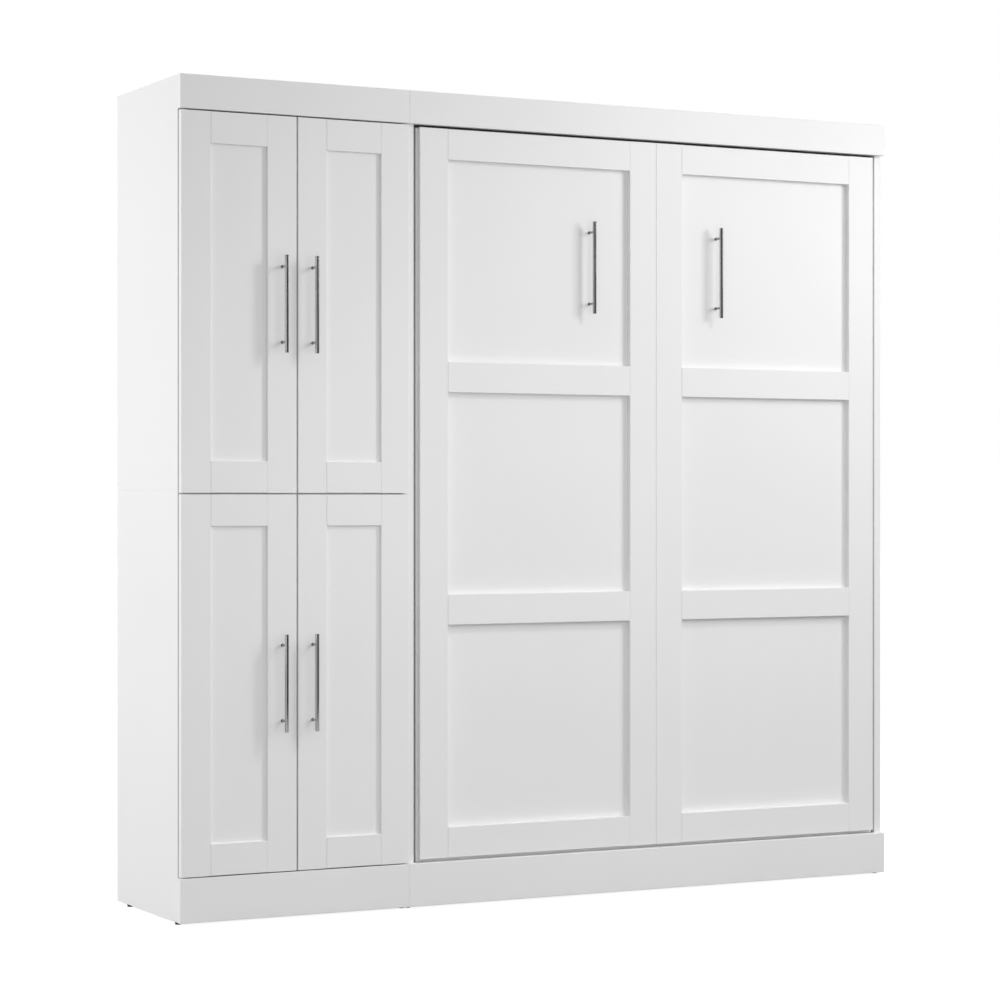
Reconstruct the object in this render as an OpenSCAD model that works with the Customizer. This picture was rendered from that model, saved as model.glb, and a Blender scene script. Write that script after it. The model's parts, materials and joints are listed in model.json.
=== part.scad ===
// Full-size vertical wall bed with a two-module storage tower on its left.
// Millimetres. +X right, +Y towards the wall, +Z up, z = 0 on the floor.
// The origin is the middle of the whole object's footprint.
// Inside placed() x runs from the tower's outer face and y from the crown's front face.

/* [Cabinet] */
// Width of the storage tower
tower_w = 635; // [600:1:700]
// Width of the bed cabinet
bed_w = 1496; // [1490:1:1530]
// Height of the fronts, from the plinth's underside to the crown's top
front_h = 2124; // [2120:1:2140]
// Depth from the crown's front face to the wall
cabinet_d = 462; // [462:1:480]
// Height of the crown board
crown_h = 86; // [80:1:90]
// Height of the plinth board
plinth_h = 112; // [110:1:120]
// Thickness of the crown and plinth boards
fascia_t = 19; // [16:1:19]
// Thickness of the tower's boards
tower_t = 16; // [16:1:19]
// Thickness of the bed cabinet's boards
bed_t = 20; // [18:1:22]
// Height of the levelling feet
foot_h = 6; // [4:1:8]

/* [Tower] */
// Height of the joint between the two tower modules, above the plinth's underside
module_seam = 1083; // [1080:1:1090]
// Adjustable shelves in each module
shelf_count = 2; // [1:1:3]
// Opening left between doors that meet
door_gap = 4; // [3:0.5:5]
// Thickness of the door frames
door_t = 16; // [16:1:18]
// Width of the stiles and rails
stile_w = 80; // [70:1:90]
// Depth of the door's recessed centre panel
door_recess = 8; // [6:0.5:8]

/* [Bed face] */
// Gap between the face and the cabinet's sides
face_side_gap = 13; // [12:0.5:14]
// Gap between the face and the plinth
face_bottom_gap = 9; // [9:0.5:11]
// Gap between the face and the crown
face_top_gap = 7; // [6:0.5:8]
// How far the face is set back from the crown
face_setback = 8; // [6:0.5:8]
// Width of the face's stiles
face_stile_w = 82; // [76:1:88]
// Width of the face's rails
face_rail_w = 80; // [76:1:88]
// Thickness of the face's stiles and rails
face_t = 16; // [14:0.5:16]
// Thickness of the sheet behind them
face_back_t = 9; // [8:0.5:9]

/* [Handles] */
// Length of a bar handle
handle_l = 248; // [220:1:280]
// Distance between a handle's two posts
handle_pitch = 192; // [160:1:192]
// Diameter of the handle's bar
handle_d = 10; // [8:0.5:12]
// Diameter of a handle's posts
post_d = 6; // [5:0.5:8]
// Distance from the mounting surface to the bar's axis
handle_reach = 30; // [26:0.5:30]

/* [Bed mechanism] */
// Distance of the bed's pivot behind the crown's front face
pivot_y = 140; // [138:0.5:142]
// Height of the bed's pivot above the lower edge of the face
pivot_rise = 263; // [260:1:265]
// Number of sprung slats on each side of the centre rail
slat_count = 15; // [13:1:16]
// How far a slat bows towards the mattress
slat_bow = 10; // [6:0.5:12]

/* [Hidden] */
$fn = 64;
total_w = tower_w + bed_w;
crown_z = foot_h + front_h - crown_h;   // underside of the crown
top_z = foot_h + front_h;               // top of the crown
plinth_z = foot_h + plinth_h;           // top of the plinth
seam_z = foot_h + module_seam;
edge_c = 1;                             // chamfer on front edges
joint = 0.3;                            // open line where two boards meet
back_t = 3;                             // tower's hardboard back
handle_out = handle_reach + handle_d / 2;
post_foot = [post_d / 2 + 1, 2];        // radius and height of a post's foot

// Tower doors: two side by side in each module, hinged on the outside
door_side = 2;                          // from the tower's outer face to the door's edge
door_w = (tower_w - 2 * door_side - door_gap) / 2;
door_lift = 3;                          // above the plinth
door_h = (crown_z - door_gap - plinth_z - door_lift - door_gap) / 2;
lower_door_z = plinth_z + door_lift;
upper_door_z = lower_door_z + door_h + door_gap;
panel_t = 6;                            // centre panel
groove = 9;                             // groove depth that holds it
panel_in = 8;                           // how far the panel enters the groove
panel_y = [door_recess, door_recess + panel_t];
cup_r = 17.5;                           // hinge cup
cup_depth = 12;
cup_tab = 3;                            // wood left between cup and door edge
pin_in = 7;                             // hinge pin, in from the door's edge
pin_y = 7.5;                            // hinge pin, behind the door's front
pin_r = 1.2;
hinge_z = [98, door_h / 2, door_h - 98];
door_handle_x = door_side + door_w - stile_w / 2;
door_handle_z = door_h / 2;

// Tower boards
shelf_gap = 1;
shelf_front = 40;
pin_hole_r = 2.5;
pin_rows = [fascia_t + 37, cabinet_d - 42];
pin_step = 32;
foot_rows = [36, 384];
lower_room = [plinth_z, seam_z - tower_t];
upper_room = [seam_z + tower_t, top_z - tower_t];
function shelf_z(room, k) = room[0] + k * (room[1] - room[0] - shelf_count * tower_t)
    / (shelf_count + 1) + (k - 1) * tower_t;

// Bed cabinet
inside = [tower_w + bed_t, total_w - bed_t];
wall_rail_t = 18;
wall_rail_y = [cabinet_d - wall_rail_t, cabinet_d];
lower_rail_z = [foot_h, plinth_z + 110];
upper_rail_z = [top_z - bed_t - 120, top_z - bed_t];
headboard_z = [480, 920];
lower_screw_z = plinth_z + 55;
wall_screw_pitch = 1219.2;              // three stud bays of 16 in
stretcher_h = 101;

// Bed face
bed_cx = tower_w + bed_w / 2;           // centre line of the bed cabinet
inner_half = bed_w / 2 - bed_t;         // centre line to the cabinet side's inner face
face_half = inner_half - face_side_gap;
face_z = plinth_z + face_bottom_gap;
face_h = crown_z - face_top_gap - face_z;
recess_h = (face_h - 4 * face_rail_w) / 3;
face_back_y = face_setback + face_t;    // front of the sheet that the recesses show
frame_y = face_back_y + face_back_t;    // where the steel frame starts
stop_z = [1690, 1735];
guide_z = [plinth_z - 9, plinth_z + 10];
seam_half = 0.25;                       // half the gap between the two face panels
bed_handle_in = 118;                    // handle to the edge of the inner stile
bed_handle_drop = 3;                    // below the middle of the top recess
bed_handle_z = face_z + 3 * face_rail_w + 2.5 * recess_h - bed_handle_drop;
face_skirt = 9;                         // how far the sheets reach below the rails
face_ledge = 5;                         // and past the outer stiles

// Steel bed frame, behind the face
tube = 40;
tube_x = 25;
wall = 2;
rail_half = inner_half - 32;            // outer faces of the side rails
rail_z = face_z + 3;
rail_top = face_z + face_h - 2;
rail_back = frame_y + tube;
frame_range = [frame_y, rail_back];
rail_inner = rail_half - tube_x;
head_z = [rail_z, rail_z + tube];
foot_z = [rail_top - tube, rail_top];
pivot_z = face_z + pivot_rise;
mid_rails = [0.33, 0.67];
plate_t = 5;
slat_w = 53;
slat_t = 8;
slat_end = 76;
slat_low = rail_back + 3.5;             // underside of a slat at its ends
slat_x = [6, rail_half - 5];
slat_half = (slat_x[1] - slat_x[0]) / 2;
slat_radius = (slat_half * slat_half + slat_bow * slat_bow) / (2 * slat_bow);
lip_h = 18;                             // upstand that holds the slat holders
cap_h = 16;
cap_w = 62;
cap_out = rail_half - wall - joint;     // outer face of the holders on the side rails

// Gas springs, one in each side gap; all places are relative to the pivot
strut_base = [-30, -82];
strut_eye = [-72, 350];
strut_half = rail_half + 16;            // plane of the gas springs
strut_l = norm(strut_eye - strut_base);
strut_tilt = atan2(strut_base[0] - strut_eye[0], strut_eye[1] - strut_base[1]);
strut_foot = [pivot_y + strut_base[0], pivot_z + strut_base[1]];
strut_head = [pivot_y + strut_eye[0], pivot_z + strut_eye[1]];
strut_r = 9;
strut_bore = 7.6;
rod_r = 4;
gland = 263;                            // cylinder's mouth, from the base eye
eye_r = 10;
eye_t = 12;
stud_r = 5;
run = 0.05;                             // running clearance on a radius

// Folding leg at the foot end
leg_r = 8;
leg_crank = 35;
leg_stow = 25;
leg_pivot = [60, face_z + face_h - 17];
leg_half = rail_half + 12;
leg_foot_r = 10.5;
leg_arm = pivot_z + leg_pivot[0] - pivot_y - leg_foot_r - 1.5;
leg_bend = 30;

white = [0.94, 0.94, 0.93];
steel = [0.62, 0.62, 0.60];
nickel = [0.45, 0.44, 0.42];

// ---- helpers -------------------------------------------------------------

// Moves x and y from the cabinet's front left corner to the footprint's middle
module placed() translate([-total_w / 2, -(cabinet_d - handle_out) / 2, 0]) children();

// A plain board given by its ranges along x, y and z
module board(x, y, z) translate([x[0], y[0], z[0]]) cube([x[1] - x[0], y[1] - y[0], z[1] - z[0]]);

// A profile drawn in y and z, run along x
module along_x(x) translate([x[0], 0, 0]) rotate([90, 0, 90]) linear_extrude(x[1] - x[0]) children();

// A profile drawn in x and y, run along z
module along_z(z) translate([0, 0, z[0]]) linear_extrude(z[1] - z[0]) children();

// Rectangle in x and y whose two front corners are chamfered
module front_edged(x, y, c = edge_c) polygon([
    [x[0] + c, y[0]], [x[1] - c, y[0]], [x[1], y[0] + c],
    [x[1], y[1]], [x[0], y[1]], [x[0], y[0] + c]]);

// The same in y and z, for a board that runs along x
module front_edged_yz(y, z, c = edge_c) polygon([
    [y[0], z[0] + c], [y[0] + c, z[0]], [y[1], z[0]],
    [y[1], z[1]], [y[0] + c, z[1]], [y[0], z[1] - c]]);

// Rectangle with round corners
module rounded(a, b, r) {
    translate([a[0] + r, b[0]]) square([a[1] - a[0] - 2 * r, b[1] - b[0]]);
    translate([a[0], b[0] + r]) square([a[1] - a[0], b[1] - b[0] - 2 * r]);
    for (p = [a[0] + r, a[1] - r], q = [b[0] + r, b[1] - r]) translate([p, q]) circle(r);
}

// A child and its mirror image across the tower's or the bed's centre line
module mirrored(cx) translate([2 * cx, 0, 0]) mirror([1, 0, 0]) children();
module both(cx) {
    children();
    mirrored(cx) children();
}

// A disc or shaft along x, given by its range of distances from the bed's centre line, on the left
module boss(r, half, y, z, sides = $fn)
    translate([bed_cx - half[1], y, z]) rotate([0, 90, 0])
        cylinder(h = half[1] - half[0], r = r, $fn = sides);

// Point where a line from p touches a circle, on the side given by s
function tangent(p, c, r, s) = let (d = c - p, l = norm(d), a = atan2(d[1], d[0]) + s * asin(r / l))
    p + sqrt(l * l - r * r) * [cos(a), sin(a)];

// ---- storage tower -------------------------------------------------------

module pin_holes(room) for (k = [1 : shelf_count], row = pin_rows, step = [-1 : 1])
    translate([tower_t - 9, row, shelf_z(room, k) - 3.5 + step * pin_step])
        rotate([0, 90, 0]) cylinder(h = 10, r = pin_hole_r);

module foot_hole(x, y) translate([x, y, foot_h - 1]) cylinder(h = 16, r = 3.1);

module tower_sides(z, room, feet) both(tower_w / 2) difference() {
    translate([0, fascia_t, 0]) rotate([90, 0, 0]) mirror([0, 0, 1])
        linear_extrude(cabinet_d - back_t - fascia_t)
            polygon([[edge_c, z[0]], [tower_t, z[0]], [tower_t, z[1]], [edge_c, z[1]],
                [0, z[1] - edge_c], [0, z[0] + edge_c]]);
    pin_holes(room);
    if (feet) for (y = foot_rows) foot_hole(tower_t / 2, y);
}

module tower_lower_sides() color(white) placed() tower_sides([foot_h, seam_z], lower_room, true);
module tower_upper_sides() color(white) placed() tower_sides([seam_z, top_z], upper_room, false);

module tower_tops_and_bases() color(white) placed()
    for (z = [plinth_z - tower_t, seam_z - tower_t, seam_z, top_z - tower_t])
        board([tower_t, tower_w - tower_t], [fascia_t, cabinet_d - back_t], [z, z + tower_t]);

module tower_shelves() color(white) placed()
    for (room = [lower_room, upper_room], k = [1 : shelf_count]) let (z = shelf_z(room, k))
        along_x([tower_t + shelf_gap, tower_w - tower_t - shelf_gap])
            front_edged_yz([shelf_front, cabinet_d - back_t - 3], [z, z + tower_t]);

// Spoon-shaped pegs: a shank in the hole and a thicker end under the shelf
module shelf_pins() color(nickel) placed() both(tower_w / 2)
    for (room = [lower_room, upper_room], k = [1 : shelf_count], row = pin_rows)
        translate([tower_t, row, shelf_z(room, k) - 3.5]) rotate([0, 90, 0]) {
            translate([0, 0, -8]) cylinder(h = 8, r = pin_hole_r - run);
            cylinder(h = 7, r = 3.5);
        }

module tower_backs() color(white) placed()
    for (z = [[foot_h + 2, seam_z - 0.5], [seam_z + 0.5, top_z - 1]])
        board([0.5, tower_w - 0.5], [cabinet_d - back_t, cabinet_d], z);

module fascia(x, z) along_x(x) front_edged_yz([0, fascia_t], z);

module tower_plinth() color(white) placed() fascia([0, tower_w - joint], [foot_h, plinth_z]);
module tower_crown() color(white) placed() fascia([0, tower_w - joint], [crown_z, top_z]);

// ---- bed cabinet ---------------------------------------------------------

module bed_side() difference() {
    board([tower_w, tower_w + bed_t], [fascia_t, cabinet_d], [foot_h, top_z]);
    for (y = foot_rows) foot_hole(tower_w + bed_t / 2, y);
}

module bed_side_left() color(white) placed() bed_side();
module bed_side_right() color(white) placed() mirrored(bed_cx) bed_side();
module bed_plinth() color(white) placed() fascia([tower_w + joint, total_w], [foot_h, plinth_z]);
module bed_crown() color(white) placed() fascia([tower_w + joint, total_w], [crown_z, top_z]);

module bed_top_panel() color(white) placed()
    board(inside, [fascia_t, cabinet_d], [top_z - bed_t, top_z]);

module base_stretcher() color(white) placed()
    board(inside, [fascia_t, fascia_t + wall_rail_t], [foot_h, foot_h + stretcher_h]);

module wall_rail(z, screw_z) difference() {
    board(inside, wall_rail_y, z);
    for (s = [-1, 1])
        translate([bed_cx + s * wall_screw_pitch / 2, wall_rail_y[1] + 1, screw_z])
            rotate([90, 0, 0]) cylinder(h = wall_rail_t + 2, r = 3.5);
}

module lower_wall_rail() color(white) placed() wall_rail(lower_rail_z, lower_screw_z);
module upper_wall_rail() color(white) placed()
    wall_rail(upper_rail_z, (upper_rail_z[0] + upper_rail_z[1]) / 2);
module headboard_panel() color(white) placed() board(inside, wall_rail_y, headboard_z);

// Steel angles that hold the crown and the tower's plinth from behind
module fascia_bracket(x, z) along_x([x - 15, x + 15]) translate([fascia_t, z]) polygon([
    [0, 0], [26, 0], [26, -2], [2, -2], [2, -26], [0, -26]]);

module fascia_brackets() color(steel) placed() {
    for (x = [90, tower_w - 90]) {
        fascia_bracket(x, top_z - tower_t);
        fascia_bracket(x, plinth_z - tower_t);
    }
    for (k = [0 : 3]) fascia_bracket(tower_w + 120 + k * (bed_w - 240) / 3, top_z - bed_t);
}

// Black glides under all four uprights, each with a stem pressed into the board
module levelling_feet() color([0.08, 0.08, 0.08]) placed()
    for (x = [tower_t / 2, tower_w - tower_t / 2, tower_w + bed_t / 2, total_w - bed_t / 2],
            y = foot_rows)
        translate([x, y, 0]) {
            cylinder(h = 1, r1 = 7, r2 = 8, $fn = 48);
            translate([0, 0, 1]) cylinder(h = foot_h - 1, r = 8);
            cylinder(h = foot_h + 13, r = 3);
        }

// Rubber-faced blocks on the cabinet's sides: the closed face rests against the upper ones,
// and the lower ones guide its bottom corners
module bed_stops() color([0.15, 0.15, 0.15]) placed() both(bed_cx) {
    along_z(stop_z) polygon([
        [inside[0], frame_y + joint], [inside[0] + 20, frame_y + joint],
        [inside[0] + 20, frame_y + 14], [inside[0] + 8, frame_y + 30],
        [inside[0], frame_y + 30]]);
    board([inside[0], inside[0] + 4.5], [frame_y - 2, frame_y + 3], guide_z);
}

// ---- cup hinges ----------------------------------------------------------

module at_hinges(door_z) for (z = hinge_z) translate([0, 0, door_z + z]) children();
module all_hinges() both(tower_w / 2)
    for (door_z = [lower_door_z, upper_door_z]) at_hinges(door_z) children();

// Cross-shaped plates screwed to the tower's sides
module hinge_plates() color(steel) placed() all_hinges() translate([tower_t, 0, 0])
    rotate([90, 0, 90]) linear_extrude(2) {
        rounded([34, 88], [-9, 9], 4);
        rounded([48, 64], [-25, 25], 7);
    }

// Goose-necked arms: a barrel round the hinge pin, a neck that stays inside the cup's mouth
// at every angle, and a body clipped on the plate
module hinge_arms() color(steel) placed() all_hinges() difference() {
    union() {
        translate([door_side + pin_in, pin_y, -4]) {
            cylinder(h = 8, r = 2.4);
            translate([0, -1.2, 0]) cube([13.5, 2.4, 8]);
            translate([11, -1.2, 0]) cube([2.5, 30, 8]);
        }
        along_z([-8, 8]) polygon([
            [tower_t + 2, 38], [tower_t + 4, 34], [tower_t + 9, 34], [tower_t + 13, 42],
            [tower_t + 13, 78], [tower_t + 9, 92], [tower_t + 2, 92]]);
    }
    translate([door_side + pin_in, pin_y, -5]) cylinder(h = 10, r = pin_r + run);
}

// One cup: shell with its own pin, and the flange that is screwed to the door
module hinge_cup() translate([door_side + cup_tab + cup_r, 0, 0]) rotate([-90, 0, 0]) {
    difference() {
        translate([0, 0, door_t - cup_depth]) cylinder(h = cup_depth, r = cup_r);
        translate([0, 0, door_t - cup_depth + 0.8]) cylinder(h = cup_depth + 2, r = cup_r - 0.8);
    }
    difference() {
        translate([0, 0, door_t]) linear_extrude(1) {
            circle(cup_r + 1);
            rounded([-7, 7], [-27, 27], 5);
        }
        translate([0, 0, door_t - 1]) cylinder(h = 3, r = cup_r - 0.8);
    }
    translate([pin_in - cup_tab - cup_r, -10.4, pin_y]) rotate([-90, 0, 0]) cylinder(h = 20.8, r = pin_r);
}

// ---- tower doors ---------------------------------------------------------

module door_frame() {
    outer = [door_side, door_side + stile_w];
    inner = [door_side + door_w - stile_w, door_side + door_w];
    difference() {
        along_z([0, door_h]) front_edged(outer, [0, door_t]);
        board([outer[1] - groove, outer[1] + 1], panel_y, [-1, door_h + 1]);
        at_hinges(0) translate([door_side + cup_tab + cup_r, door_t - cup_depth, 0])
            rotate([-90, 0, 0]) cylinder(h = cup_depth + 1, r = cup_r);
    }
    difference() {
        along_z([0, door_h]) front_edged(inner, [0, door_t]);
        board([inner[0] - 1, inner[0] + groove], panel_y, [-1, door_h + 1]);
    }
    for (low = [true, false]) {
        z = low ? [0, stile_w] : [door_h - stile_w, door_h];
        slot = low ? [stile_w - groove, stile_w + 1] : [door_h - stile_w - 1, door_h - stile_w + groove];
        difference() {
            along_x([outer[1] + joint, inner[0] - joint]) front_edged_yz([0, door_t], z);
            board([0, tower_w], panel_y, slot);
        }
    }
}

module door_panel() board(
    [door_side + stile_w - panel_in, door_side + door_w - stile_w + panel_in],
    panel_y, [stile_w - panel_in, door_h - stile_w + panel_in]);

// A bar on two posts, standing out from a surface at y
module bar_handle(x, y, z) translate([x, y, z]) {
    translate([0, -handle_reach, -handle_l / 2]) {
        cylinder(h = 1, r1 = handle_d / 2 - 1, r2 = handle_d / 2);
        translate([0, 0, 1]) cylinder(h = handle_l - 2, r = handle_d / 2);
        translate([0, 0, handle_l - 1]) cylinder(h = 1, r1 = handle_d / 2, r2 = handle_d / 2 - 1);
    }
    for (s = [-1, 1]) translate([0, 0, s * handle_pitch / 2]) rotate([90, 0, 0]) {
        cylinder(h = handle_reach, r = post_d / 2);
        cylinder(h = post_foot[1], r = post_foot[0]);
    }
}

module door_part(left, z, shade = white) color(shade) placed() translate([0, 0, z]) {
    if (left) children();
    else mirrored(tower_w / 2) children();
}

module door_handle() bar_handle(door_handle_x, 0, door_handle_z);

module lower_left_door_frame() door_part(true, lower_door_z) door_frame();
module lower_left_door_panel() door_part(true, lower_door_z) door_panel();
module lower_left_handle() door_part(true, lower_door_z, nickel) door_handle();
module lower_left_hinge_cups() door_part(true, lower_door_z, steel) at_hinges(0) hinge_cup();
module lower_right_door_frame() door_part(false, lower_door_z) door_frame();
module lower_right_door_panel() door_part(false, lower_door_z) door_panel();
module lower_right_handle() door_part(false, lower_door_z, nickel) door_handle();
module lower_right_hinge_cups() door_part(false, lower_door_z, steel) at_hinges(0) hinge_cup();
module upper_left_door_frame() door_part(true, upper_door_z) door_frame();
module upper_left_door_panel() door_part(true, upper_door_z) door_panel();
module upper_left_handle() door_part(true, upper_door_z, nickel) door_handle();
module upper_left_hinge_cups() door_part(true, upper_door_z, steel) at_hinges(0) hinge_cup();
module upper_right_door_frame() door_part(false, upper_door_z) door_frame();
module upper_right_door_panel() door_part(false, upper_door_z) door_panel();
module upper_right_handle() door_part(false, upper_door_z, nickel) door_handle();
module upper_right_hinge_cups() door_part(false, upper_door_z, steel) at_hinges(0) hinge_cup();

// ---- bed face ------------------------------------------------------------

// Two full-height stiles and four rails, butted with a fine open line
module face_frame() {
    x0 = bed_cx - face_half;
    x1 = bed_cx - seam_half;
    y = [face_setback, face_back_y];
    along_z([face_z, face_z + face_h]) front_edged([x0, x0 + face_stile_w], y);
    along_z([face_z, face_z + face_h]) front_edged([x1 - face_stile_w, x1], y);
    for (k = [0 : 3]) let (z = face_z + k * (face_rail_w + recess_h))
        along_x([x0 + face_stile_w + joint, x1 - face_stile_w - joint])
            front_edged_yz(y, [z, z + face_rail_w]);
}

module face_frame_left() color(white) placed() face_frame();
module face_frame_right() color(white) placed() mirrored(bed_cx) face_frame();

module face_sheets() color(white) placed() both(bed_cx)
    board([bed_cx - face_half - face_ledge, bed_cx - seam_half], [face_back_y, frame_y],
        [face_z - face_skirt, face_z + face_h]);

module bed_handles() color(nickel) placed() both(bed_cx)
    bar_handle(bed_cx - seam_half - face_stile_w - bed_handle_in, face_back_y, bed_handle_z);

// ---- steel bed frame -----------------------------------------------------

// Rectangular steel tube given by its ranges, open along its longest run
module tube_box(x, y, z, axis) difference() {
    board(x, y, z);
    board(
        [x[0] + (axis == 0 ? -1 : wall), x[1] - (axis == 0 ? -1 : wall)],
        [y[0] + wall, y[1] - wall],
        [z[0] + (axis == 2 ? -1 : wall), z[1] - (axis == 2 ? -1 : wall)]);
}

// Side rails: a tube with an upstand along its outer edge
module bed_side_rails() color(steel) placed() both(bed_cx) {
    tube_box([bed_cx - rail_half, bed_cx - rail_inner], frame_range, [rail_z, rail_top], 2);
    board([bed_cx - rail_half, bed_cx - rail_half + wall], [rail_back - wall, rail_back + lip_h],
        [rail_z, rail_top]);
}

module bed_cross_rails() color(steel) placed() {
    for (z = [head_z, foot_z]) tube_box([bed_cx - rail_inner, bed_cx + rail_inner], frame_range, z, 0);
    both(bed_cx) for (f = mid_rails) let (z = rail_z + f * (rail_top - rail_z) - tube / 2)
        tube_box([bed_cx - rail_inner, bed_cx - tube / 2], frame_range, [z, z + tube], 0);
}

module bed_centre_rail() color(steel) placed()
    tube_box([bed_cx - tube / 2, bed_cx + tube / 2], frame_range, [head_z[1], foot_z[0]], 2);

function slat_z(k) = rail_z + slat_end + k * (rail_top - rail_z - 2 * slat_end) / (slat_count - 1);

// Bent plywood slats: a thin arc between the centre rail and a side rail
module slat() intersection() {
    translate([bed_cx - slat_x[0] - slat_half, slat_low + slat_bow - slat_radius]) difference() {
        circle(slat_radius + slat_t, $fn = 1200);
        circle(slat_radius, $fn = 1200);
    }
    translate([bed_cx - slat_x[1], rail_back]) square([2 * slat_half, 2 * cap_h + slat_bow]);
}

module slats() color([0.80, 0.66, 0.45]) placed() both(bed_cx)
    for (k = [0 : slat_count - 1]) along_z([slat_z(k) - slat_w / 2, slat_z(k) + slat_w / 2]) slat();

// Holders: one on each side rail for a slat's outer end, and a double one on the centre rail
module cap_block(x) difference() {
    board(x, [rail_back, rail_back + cap_h], [-cap_w / 2, cap_w / 2]);
    children();
}

module cap_pocket(x) board(x, [rail_back + 2, rail_back + 13.6], [-slat_w / 2 - 1, slat_w / 2 + 1]);

module slat_caps() color([0.12, 0.12, 0.12]) placed()
    for (k = [0 : slat_count - 1]) translate([0, 0, slat_z(k)]) {
        both(bed_cx) cap_block([bed_cx - cap_out, bed_cx - rail_inner])
            cap_pocket([bed_cx - rail_half + 4, bed_cx - rail_inner + 1]);
        cap_block([bed_cx - 24, bed_cx + 24]) both(bed_cx) cap_pocket([bed_cx - 25, bed_cx - 4]);
    }

// Bent plate across the head end: it carries the mattress while the bed stands up
module head_end_plate() color(steel) placed()
    translate([0, 0, face_z]) linear_extrude(3) polygon([
        [bed_cx - rail_half, frame_y], [bed_cx + rail_half, frame_y], [bed_cx + rail_half, rail_back],
        [bed_cx + rail_half - 60, 190], [bed_cx - rail_half + 60, 190], [bed_cx - rail_half, rail_back]]);

// ---- pivot and lift mechanism --------------------------------------------

module bed_pivot_arm() {
    low = [frame_y + tube - 2, pivot_z - 100];
    high = [frame_y + tube - 2, pivot_z + 180];
    c = [pivot_y, pivot_z];
    difference() {
        along_x([bed_cx - rail_half - plate_t, bed_cx - rail_half]) {
            polygon([[frame_y + 2, low[1] + 10], [frame_y + 12, low[1]], low,
                tangent(low, c, 24, -1), tangent(high, c, 24, 1), high,
                [frame_y + 12, high[1]], [frame_y + 2, high[1] - 10]]);
            translate(c) circle(24);
        }
        boss(9, [rail_half - 1, rail_half + plate_t + 1], pivot_y, pivot_z);
    }
}

module bed_pivot_arms() color(steel) placed() both(bed_cx) bed_pivot_arm();

module pivot_bushes() color([0.9, 0.88, 0.8]) placed() both(bed_cx) difference() {
    union() {
        boss(9, [rail_half - 1, rail_half + plate_t], pivot_y, pivot_z);
        boss(12, [rail_half + plate_t, rail_half + plate_t + 1.5], pivot_y, pivot_z);
    }
    boss(7 + run, [rail_half - 2, rail_half + plate_t + 2], pivot_y, pivot_z);
}

module cabinet_pivot_plates() color(steel) placed() both(bed_cx)
    along_x([bed_cx - inner_half, bed_cx - inner_half + 4])
        rounded([pivot_y - 66, pivot_y + 44], [pivot_z - 130, pivot_z + 64], 12);

module pivot_bolts() color(nickel) placed() both(bed_cx) {
    boss(7, [rail_half - 8, inner_half - 4], pivot_y, pivot_z);
    boss(10, [rail_half + plate_t + 2, inner_half - 4], pivot_y, pivot_z);
    boss(11, [rail_half - 8, rail_half - 1.3], pivot_y, pivot_z, 6);
}

module strut_studs() color(nickel) placed() both(bed_cx) {
    boss(stud_r, [strut_half - eye_t / 2 - 3, inner_half - 4], strut_foot[0], strut_foot[1]);
    boss(8, [strut_half + eye_t / 2 + joint, inner_half - 4], strut_foot[0], strut_foot[1]);
    boss(7.5, [strut_half - eye_t / 2 - 3, strut_half - eye_t / 2 - joint], strut_foot[0], strut_foot[1]);
}

// On the side rails: studs for the gas springs' rods, and the folding leg's pins
module rail_pins() color(nickel) placed() both(bed_cx) {
    boss(9, [rail_half, rail_half + 3], strut_head[0], strut_head[1]);
    boss(stud_r, [rail_half + 3, strut_half - eye_t / 2 - 0.5], strut_head[0], strut_head[1]);
    boss(stud_r, [rail_half, rail_half + 10], leg_pivot[0], leg_pivot[1]);
    boss(8, [rail_half, rail_half + 1.7], leg_pivot[0], leg_pivot[1]);
    boss(8, [rail_half + 7.3, rail_half + 10], leg_pivot[0], leg_pivot[1]);
}

// Puts a gas spring's own axis, drawn along +z from its base eye, in its closed place;
// side is -1 on the left and 1 on the right
module on_strut(side)
    translate([bed_cx + side * strut_half, strut_foot[0], strut_foot[1]])
        rotate([strut_tilt, 0, 0]) children();

module strut_eye_disc()
    translate([-eye_t / 2, 0, 0]) rotate([0, 90, 0]) cylinder(h = eye_t, r = eye_r);

module gas_cylinder(side) on_strut(side) difference() {
    union() {
        strut_eye_disc();
        translate([0, 0, 6]) cylinder(h = 14, r = 6);
        rotate_extrude() polygon([
            [0, 18], [strut_r - 1, 18], [strut_r, 20], [strut_r, gland - 2], [strut_r - 1.5, gland],
            [rod_r + run, gland], [rod_r + run, gland - 15], [strut_bore, gland - 15],
            [strut_bore, 26], [0, 26]]);
    }
    translate([-eye_t, 0, 0]) rotate([0, 90, 0]) cylinder(h = 2 * eye_t, r = stud_r + run);
}

// Rod with its piston inside the cylinder and a blind eye beside the rail's stud
module gas_rod(side) on_strut(side) {
    translate([0, 0, 205]) cylinder(h = strut_l - 205, r = rod_r);
    translate([0, 0, 200]) cylinder(h = 12, r = strut_bore - run);
    translate([0, 0, strut_l - 22]) cylinder(h = 14, r = 6);
    translate([0, 0, strut_l]) strut_eye_disc();
}

module gas_cylinder_left() color([0.08, 0.08, 0.09]) placed() gas_cylinder(-1);
module gas_cylinder_right() color([0.08, 0.08, 0.09]) placed() gas_cylinder(1);
module gas_rod_left() color(steel) placed() gas_rod(-1);
module gas_rod_right() color(steel) placed() gas_rod(1);

// ---- folding leg ---------------------------------------------------------

// Puts the leg's own plane, drawn with its arms along +y from the cranks, in its stowed place
module on_leg() translate([bed_cx, leg_pivot[0], leg_pivot[1]]) rotate([-leg_stow, 0, 0]) children();

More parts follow.
